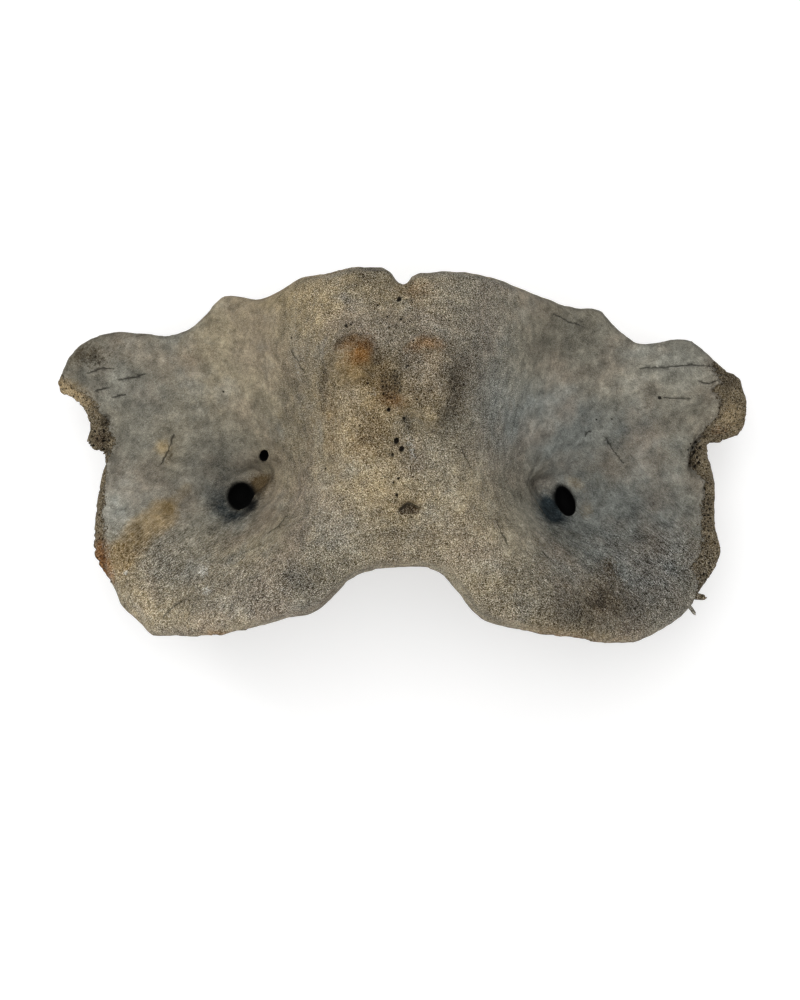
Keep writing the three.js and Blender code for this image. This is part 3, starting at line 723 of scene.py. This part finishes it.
def groove_object(name, grooves):
    """One mesh of thin wedges, each along a way of places with a half width and a depth."""
    places, faces = [], []
    for way, half, depth in grooves:
        way = np.array(way)
        run = np.gradient(way[:, :2], axis=0)
        beside = np.stack([-run[:, 1], run[:, 0], 0 * run[:, 0]], axis=1)
        beside /= np.linalg.norm(beside, axis=1)[:, None]
        taper = np.sin(np.linspace(0.12, math.pi - 0.12, len(way)))[:, None]
        up = np.array((0, 0, 1.0))
        first = sum(len(p) for p in places)
        out = beside * half * taper
        rings = np.stack([way - out, way - up * depth * taper, way + out, way + up], axis=1)
        places.append(rings.reshape(-1, 3))
        for ring in range(len(way) - 1):
            for side in range(4):
                a = first + ring * 4 + side
                b = first + ring * 4 + (side + 1) % 4
                faces.append((a, b, b + 4, a + 4))
        last = first + (len(way) - 1) * 4
        faces.append((first + 3, first + 2, first + 1, first))
        faces.append((last, last + 1, last + 2, last + 3))
    return mesh_object(name, np.concatenate(places), faces)


def combine(obj, other, operation):
    finish_with(obj, "BOOLEAN", operation=operation, object=other, solver="MANIFOLD")
    bpy.data.objects.remove(other)


def strewn(at, reach, number, radius, chance):
    """Places in an oval, denser inwards, no two so close that their pores meet."""
    places = []
    for _ in range(number * PORE_TRIES):
        angle = chance.uniform(0, 2 * math.pi)
        far = chance.random() ** 0.7
        place = (at[0] + reach[0] * far * math.cos(angle), at[1] + reach[1] * far * math.sin(angle))
        if all(math.dist(place, other) > PORE_SPACING * radius for other in places):
            places.append(place)
        if len(places) == number:
            break
    return places


def back_holes(tree):
    """Openings, pits and strewn pores of the back, by kind, as lumps to cut away."""
    chance = random.Random(SEED)
    holes = {kind: [] for kind in HOLE_DARKNESS}
    taken = []

    def add(kind, x, y, radii, turn, level=None):
        holes[kind].append(((x, y, level or height_at(tree, x, y)), radii, turn))
        taken.append(((x, y), max(radii[:2])))

    for (x, y), radii, turn in FORAMINA:
        ring = [(x + 1.5 * radii[0] * math.cos(a), y + 1.5 * radii[1] * math.sin(a)) for a in range(6)]
        level = sum(height_at(tree, *place) for place in ring) / len(ring)
        add("foramen", x, y, radii, turn, level)
    for (x, y), radius, depth in PITS:
        add("pit", x, y, (radius, radius * chance.uniform(*PIT_STRETCH), depth), chance.uniform(0, 3))
    for at, reach, number, radius in PORE_PATCHES:
        for x, y in strewn(at, reach, number, radius, chance):
            size = radius * chance.uniform(*PORE_SCALE)
            clear = all(math.dist((x, y), place) > HOLE_SPACING * (far + size) for place, far in taken)
            if clear and height_at(tree, x, y) is not None:
                radii = (size, size * chance.uniform(*PORE_STRETCH), size * 2)
                add("pore", x, y, radii, chance.uniform(0, 3))
    return holes


def back_grooves(tree):
    """Cracks of the back, each way split into short steps that follow the surface."""
    chance = random.Random(SEED)
    grooves = []
    for way, width, depth in CRACKS:
        stops = []
        for start, end in zip(way, way[1:]):
            count = max(2, round(math.dist(start, end) / CRACK_STEP))
            for share in np.linspace(0, 1, count, endpoint=False):
                wobble = chance.uniform(-CRACK_WOBBLE, CRACK_WOBBLE)
                stops.append(np.array(start) * (1 - share) + np.array(end) * share + wobble)
        stops.append(np.array(way[-1]))
        line = [(x, y, height_at(tree, x, y)) for x, y in stops]
        grooves.append((line, width / 2, depth))
    return grooves


def add_splinters(obj):
    """Joins each splinter to the bone, just under the border's top."""
    tree = tree_of(obj)
    parts = []
    for root, tip, radius in SPLINTERS:
        middle = (np.array(root) + np.array(tip)) / 2
        level = height_at(tree, *root) - SPLINTER_DROP - radius
        turn = math.atan2(tip[1] - root[1], tip[0] - root[0])
        parts.append(((*middle, level), (math.dist(root, tip) / 2, radius, radius * 1.2), turn))
    for number, part in enumerate(parts):
        combine(obj, lump_object(f"splinter_{number}", [part]), "UNION")


def put_mask(obj, name, values):
    layer = obj.data.attributes.new(name, "FLOAT", "POINT")
    layer.data.foreach_set("value", np.asarray(values, np.float32))


def hole_shade_mask(points, holes, grooves):
    """Painted shade: 1 inside the holes and cracks, fading out at their lips."""
    dark = np.zeros(len(points))
    for kind, kept in holes.items():
        for at, radii, turn in kept:
            away = oval_distance(points, at, radii[:2], turn)
            below = at[2] - points[:, 2]
            lip = 0.25 + 0.1 * radii[2]
            inside = step(1.3, 0.95, away) * step(0, lip, below) * (below < 2 * radii[2] + 6)
            dark = np.maximum(dark, HOLE_DARKNESS[kind] * inside)
    for line, half, _ in grooves:
        away = way_distance(points, [place[:2] for place in line])
        near = np.abs(points[:, 2] - np.mean(line, axis=0)[2]) < 4
        dark = np.maximum(dark, CRACK_DARKNESS * near * step(half * 1.8, half * 0.6, away))
    return dark


def hidden_faces(points, normals):
    """Shares of joint face and of canal wall at each place."""
    x, y, z = points.T
    cup_x = (np.abs(x) - CUP_AT[0]) / CUP_REACH[0]
    cup_z = (z - CUP_AT[1]) / CUP_REACH[1]
    cup = step(1.1, 0.9, np.hypot(cup_x, cup_z))
    cup *= step(*CUP_FROM, y) * step(-0.05, -0.3, normals[:, 1])
    saddle = step(*SADDLE_FROM, y) * step(0.3, 0.6, normals[:, 1])
    saddle *= step(*SADDLE_BESIDE, np.abs(x)) * step(*SADDLE_ABOVE, z)
    from_axis = np.hypot(x, z - CANAL_AXIS)
    inwards = -(normals[:, 0] * x + normals[:, 2] * (z - CANAL_AXIS)) / from_axis
    canal = step(*CANAL_WALL, from_axis) * step(0.2, 0.5, inwards)
    return np.maximum(cup, saddle), canal


def paint(obj, holes, grooves):
    """Stores what the material needs to know of each place."""
    points = points_of(obj)
    normals = normals_of(obj)
    back = open_to_sky(obj, points, normals)
    wobble = sum(share * lumps(points, size, 20 + n, 2) for n, (size, share) in enumerate(STAIN_WOBBLE))
    for colour, stains in STAINS.items():
        amount = np.zeros(len(points))
        for at, reach, turn, strength in stains:
            away = oval_distance(points, at, reach, turn) + WOBBLE_REACH * wobble
            amount += strength * np.exp(-np.clip(away, 0, 9) ** 2)
        for name, way, half, strength in STREAKS:
            away = way_distance(points, way) / half + WOBBLE_REACH * wobble
            amount += (name == colour) * strength * np.exp(-np.clip(away, 0, 9) ** 4)
        put_mask(obj, colour, np.clip(amount, 0, 1) * back)
    # Lighter and darker areas: the bone's own tone, and painted light and shade
    shade = np.zeros(len(points))
    for at, reach, turn, amount in SHADES:
        away = oval_distance(points, at, reach, turn) + WOBBLE_REACH * wobble
        shade += amount * np.exp(-away ** 2)
    # Painted light and shade on the rims: lighter where they face the skull, darker where they face the tail
    rim = np.clip(1 - normals[:, 2] / 0.9, 0, 1)
    shade -= RIM_LIGHT_AND_SHADE * rim * normals[:, 1]
    put_mask(obj, "shade", 1 + shade * back)
    put_mask(obj, "past_skin", np.clip(past_skin_edge(points), -3, 3))
    joint, canal = hidden_faces(points, normals)
    put_mask(obj, "joint", joint * ~back)
    put_mask(obj, "canal", canal * ~back)
    put_mask(obj, "hidden", ~back)
    flank = step(*FLANK, np.abs(points[:, 0]))
    coarse = np.maximum(1 - flank, step(*COARSE_FROM, points[:, 1]))
    smooth = np.exp(-np.clip(oval_distance(points, *FACET), 0, 9) ** 4)
    coarse *= (1 - FACET_SMOOTH * smooth) * np.where(back, 1, HIDDEN_COARSE * (1 - joint))
    put_mask(obj, "coarse", coarse)
    put_mask(obj, "fibrous", flank * step(*FIBROUS_FROM, points[:, 1]) * back)
    # Painted shade inside the holes and cracks
    put_mask(obj, "hole_shade", hole_shade_mask(points, holes, grooves))


def node_in(tree, kind, inputs=None, **settings):
    """Adds a node, sets its options, and links or sets its inputs."""
    node = tree.nodes.new(kind)
    for name, value in settings.items():
        setattr(node, name, value)
    for name, value in (inputs or {}).items():
        socket = node.inputs[name]
        if isinstance(value, bpy.types.NodeSocket):
            tree.links.new(value, socket)
        else:
            socket.default_value = value
    return node


def grain(tree, place, size, detail, roughness):
    """Noise in lumps of a size in millimetres."""
    inputs = {"Vector": place, "Scale": 1 / (size * MM), "Detail": detail, "Roughness": roughness}
    return node_in(tree, "ShaderNodeTexNoise", inputs).outputs["Fac"]


def cells(tree, place, size):
    """Distance from the middles of strewn cells of a size in millimetres."""
    inputs = {"Vector": place, "Scale": 1 / (size * MM)}
    return node_in(tree, "ShaderNodeTexVoronoi", inputs).outputs["Distance"]


def ranged(tree, value, low, high, to_low, to_high):
    inputs = {0: value, 1: low, 2: high, 3: to_low, 4: to_high}
    return node_in(tree, "ShaderNodeMapRange", inputs).outputs[0]


def sums(tree, operation, first, second):
    return node_in(tree, "ShaderNodeMath", {0: first, 1: second}, operation=operation).outputs[0]


def blended(tree, factor, first, second, way="MIX", **settings):
    """Mixes two colours by a share or a mask."""
    inputs = {0: factor, 6: first, 7: second}
    return node_in(tree, "ShaderNodeMix", inputs, data_type="RGBA", blend_type=way, **settings).outputs[2]


def shaded(tree, colour, value, low, high, to_low, to_high):
    """Darkens and lightens a colour by a pattern."""
    return blended(tree, 1.0, colour, ranged(tree, value, low, high, to_low, to_high), "MULTIPLY")


def swing(tree, value, amount):
    """A pattern's swing about 0, by an amount either way."""
    return sums(tree, "MULTIPLY", ranged(tree, value, 0.25, 0.75, -1, 1), amount)


def speckled(tree, colour, swings):
    """Adds grey grain to a colour as the eye sees it, alike in light and dark."""
    seen = node_in(tree, "ShaderNodeGamma", {0: colour, 1: 1 / DISPLAY_GAMMA}).outputs[0]
    grained = blended(tree, 1.0, seen, swings, "ADD", clamp_result=True)
    return node_in(tree, "ShaderNodeGamma", {0: grained, 1: DISPLAY_GAMMA}).outputs[0]


def flecked(tree, amount, pattern, crispness):
    """A stain that covers a share of the surface, as a tint or in flecks."""
    spread = sums(tree, "MULTIPLY", amount, 1 + crispness)
    over = sums(tree, "SUBTRACT", spread, ranged(tree, pattern, 0.3, 0.7, 0, crispness))
    return ranged(tree, over, 0, 1, 0, 1)


def mask(tree, name):
    return node_in(tree, "ShaderNodeAttribute", attribute_name=name).outputs["Fac"]


def fibres(tree, place):
    """Noise drawn out along the bone's fibres, alike on both sides of the midline."""
    apart = node_in(tree, "ShaderNodeSeparateXYZ", {0: place})
    across = sums(tree, "ABSOLUTE", apart.outputs[0], 0.0)
    mirrored = node_in(tree, "ShaderNodeCombineXYZ", {0: across, 1: apart.outputs[1], 2: apart.outputs[2]})
    inputs = {"Vector": mirrored.outputs[0], "Rotation": (0, 0, FIBRE_ANGLE), "Scale": (FIBRE_STRETCH, 1, 1)}
    drawn = node_in(tree, "ShaderNodeMapping", inputs, vector_type="TEXTURE")
    return grain(tree, drawn.outputs[0], FIBRE_SIZE, 2, 0.6)


def bone_patterns(tree):
    """Patterns that the bone's colour and relief share, by name."""
    place = node_in(tree, "ShaderNodeTexCoord").outputs["Object"]
    shared = {name: grain(tree, place, *settings) for name, settings in GRAINS.items()}
    shared["fibre"] = fibres(tree, place)
    shared["sponge_pores"] = cells(tree, place, SPONGE_CELL)
    shared["coarse"] = mask(tree, "coarse")
    edge = sums(tree, "ADD", mask(tree, "past_skin"), ranged(tree, shared["fleck"], 0.3, 0.7, -0.7, 0.7))
    shared["edge"] = sums(tree, "ADD", edge, ranged(tree, shared["blotch"], 0.3, 0.7, -0.4, 0.4))
    shared["sponge"] = ranged(tree, shared["edge"], -0.06, 0.06, 0, 1)
    dots = ranged(tree, cells(tree, place, PORE_CELL), 0.1, 0.24, 1, 0)
    dots = sums(tree, "MULTIPLY", dots, ranged(tree, shared["mottle"], 0.45, 0.6, 0, 0.75))
    shared["dots"] = sums(tree, "MULTIPLY", dots, ranged(tree, shared["coarse"], 0, 1, 0.5, 1.2))
    return shared


def skin_colour(tree, shared):
    """The hard skin: grey to tan, stained, with painted light and shade, soiled where it lay in the ground,
    mottled and dotted.
    """
    colour = blended(tree, mask(tree, "warm"), GREY_BONE, TAN_BONE)
    colour = blended(tree, mask(tree, "cool"), colour, COOL_BONE)
    colour = blended(tree, ranged(tree, shared["broad"], 0.45, 0.72, 0, 0.6), colour, PINK_BONE)
    colour = blended(tree, ranged(tree, shared["patch"], 0.52, 0.75, 0, 0.5), colour, COOL_BONE)
    for name, (stain, crispness) in STAIN_COLOURS.items():
        colour = blended(tree, flecked(tree, mask(tree, name), shared["fleck"], crispness), colour, stain)
    # A paler band just inside the end of the hard skin: partly the skin's pale broken edge, partly a painted
    # highlight
    pale_edge_and_highlight = ranged(tree, shared["edge"], -1, -0.15, 0, 0.2)
    colour = blended(tree, pale_edge_and_highlight, colour, STAIN_COLOURS["pale"][0])
    soil = ranged(tree, shared["broad"], 0.4, 0.65, 0.15, 0.85)
    colour = blended(tree, sums(tree, "MULTIPLY", mask(tree, "hidden"), soil), colour, SOIL)
    colour = blended(tree, ranged(tree, mask(tree, "joint"), 0, 1, 0, 0.8), colour, JOINT_BONE)
    colour = blended(tree, ranged(tree, mask(tree, "canal"), 0, 1, 0, 0.7), colour, CANAL_SOIL)
    # Lighter and darker areas, partly painted light and shade
    colour = blended(tree, 1.0, colour, mask(tree, "shade"), "MULTIPLY")
    colour = shaded(tree, colour, shared["patch"], 0.35, 0.65, 0.86, 1.14)
    colour = shaded(tree, colour, shared["mottle"], 0.3, 0.7, 0.6, 1.38)
    colour = shaded(tree, colour, shared["blotch"], 0.3, 0.7, 0.8, 1.2)
    return blended(tree, shared["dots"], colour, PIT_BROWN)


def sponge_colour(tree, shared):
    """Spongy bone with dark pores, and a shadow where the hard skin ends above it."""
    dark = ranged(tree, shared["mottle"], 0.4, 0.6, 0, 0.4)
    colour = blended(tree, dark, SPONGE_BONE, SPONGE_COLOURS["soot_and_shade"])
    for name, stain in SPONGE_COLOURS.items():
        share = flecked(tree, mask(tree, name), shared["fleck"], SPONGE_CRISPNESS)
        colour = blended(tree, share, colour, stain)
    colour = blended(tree, ranged(tree, shared["sponge_pores"], 0.12, 0.42, 0.9, 0), colour, SPONGE_PORE)
    near_edge = {0: shared["edge"], 1: 0.25, 2: 0.35}
    shadow = node_in(tree, "ShaderNodeMath", near_edge, operation="COMPARE").outputs[0]
    return blended(tree, sums(tree, "MULTIPLY", shadow, 0.45), colour, SPONGE_PORE)


def grain_swings(tree, shared):
    """Fine grey grain: speckle on coarse bone, fibres on the wings."""
    rough = sums(tree, "MAXIMUM", shared["coarse"], sums(tree, "MULTIPLY", shared["sponge"], 0.5))
    speckle = swing(tree, shared["speckle"], ranged(tree, rough, 0, 1, *SPECKLE_SWING))
    fibre = swing(tree, shared["fibre"], ranged(tree, mask(tree, "fibrous"), 0, 1, *FIBRE_SWING))
    swings = sums(tree, "ADD", speckle, fibre)
    return sums(tree, "ADD", swings, ranged(tree, rough, 0, 1, 0, COARSE_DIMMING))


def bone_material():
    material = bpy.data.materials.new("weathered_bone")
    material.use_nodes = True
    tree = material.node_tree
    shader = tree.nodes["Principled BSDF"]
    shared = bone_patterns(tree)
    colour = blended(tree, shared["sponge"], skin_colour(tree, shared), sponge_colour(tree, shared))
    colour = speckled(tree, colour, grain_swings(tree, shared))
    # Painted shade: near black inside the holes and cracks
    colour = blended(tree, mask(tree, "hole_shade"), colour, HOLE_SHADE)
    tree.links.new(colour, shader.inputs["Base Color"])
    shader.inputs["Roughness"].default_value = MATT
    shader.inputs["Specular IOR Level"].default_value = GLOSS

    fine = sums(tree, "SUBTRACT", sums(tree, "ADD", shared["speckle"], shared["fibre"]), shared["dots"])
    lumpy = node_in(tree, "ShaderNodeBump", {**LUMPY_BUMP, "Height": shared["mottle"]})
    bump = node_in(tree, "ShaderNodeBump", {**FINE_BUMP, "Height": fine, "Normal": lumpy.outputs["Normal"]})
    tree.links.new(bump.outputs["Normal"], shader.inputs["Normal"])
    return material


def bone_piece():
    """The bone: its solid remeshed, sculpted, splintered, pierced and painted."""
    bone = copy_of_solid("atlas", "atlas_bone")
    for at, _, _ in FORAMINA[:2]:
        combine(bone, plug_object("plug", tree_of(bone), at), "UNION")
    finish_with(bone, "REMESH", mode="VOXEL", voxel_size=VOXEL * MM)
    even_out(bone, ROUND_STEPS)
    refine_back(bone)
    shape_back(bone)
    add_splinters(bone)
    tree = tree_of(bone)
    holes = back_holes(tree)
    grooves = back_grooves(tree)
    combine(bone, lump_object("foramen_cutter", holes["foramen"], 3, 0.12), "DIFFERENCE")
    combine(bone, lump_object("pit_cutter", holes["pit"]), "DIFFERENCE")
    combine(bone, lump_object("pore_cutter", holes["pore"], 1), "DIFFERENCE")
    combine(bone, groove_object("crack_cutter", grooves), "DIFFERENCE")
    paint(bone, holes, grooves)
    choose(bone)
    bpy.ops.object.shade_smooth()
    bone.data.materials.clear()
    bone.data.materials.append(bone_material())
    return bone


def floor():
    bpy.ops.mesh.primitive_plane_add(size=FLOOR_SIZE)
    ground = bpy.context.object
    ground.name = "floor"
    material = bpy.data.materials.new("pale_floor")
    material.use_nodes = True
    shader = material.node_tree.nodes["Principled BSDF"]
    shader.inputs["Base Color"].default_value = (FLOOR_GREY, FLOOR_GREY, FLOOR_GREY, 1)
    shader.inputs["Roughness"].default_value = MATT
    shader.inputs["Emission Color"].default_value = (1, 1, 1, 1)
    shader.inputs["Emission Strength"].default_value = FLOOR_GLOW
    ground.data.materials.append(material)


def area_light(name, at, power, size):
    data = bpy.data.lights.new(name, "AREA")
    data.energy = power
    data.size = size
    light = bpy.data.objects.new(name, data)
    bpy.context.collection.objects.link(light)
    light.location = Vector(at)
    light.rotation_euler = (-Vector(at)).to_track_quat("-Z", "Y").to_euler()


def light_and_camera():
    scene = bpy.context.scene
    scene.view_settings.view_transform = "Standard"
    world = bpy.data.worlds.new("soft_room")
    scene.world = world
    world.use_nodes = True
    back = world.node_tree.nodes["Background"]
    back.inputs["Color"].default_value = (1, 1, 1, 1)
    back.inputs["Strength"].default_value = ROOM_LIGHT
    for name, at, power, size in LIGHTS:
        area_light(name, at, power, size)
    data = bpy.data.cameras.new("camera")
    data.sensor_width = SENSOR
    data.lens = SENSOR * (CAMERA_HEIGHT - FRAME_LEVEL) / FRAME_LENGTH
    camera = bpy.data.objects.new("camera", data)
    bpy.context.collection.objects.link(camera)
    x, y = CAMERA_OFFSET + ORIGIN[:2]
    camera.location = Vector((x, y, CAMERA_HEIGHT)) * MM
    scene.camera = camera


light_and_camera()
floor()
bone = bone_piece()
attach(bone, "root")
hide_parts("atlas")
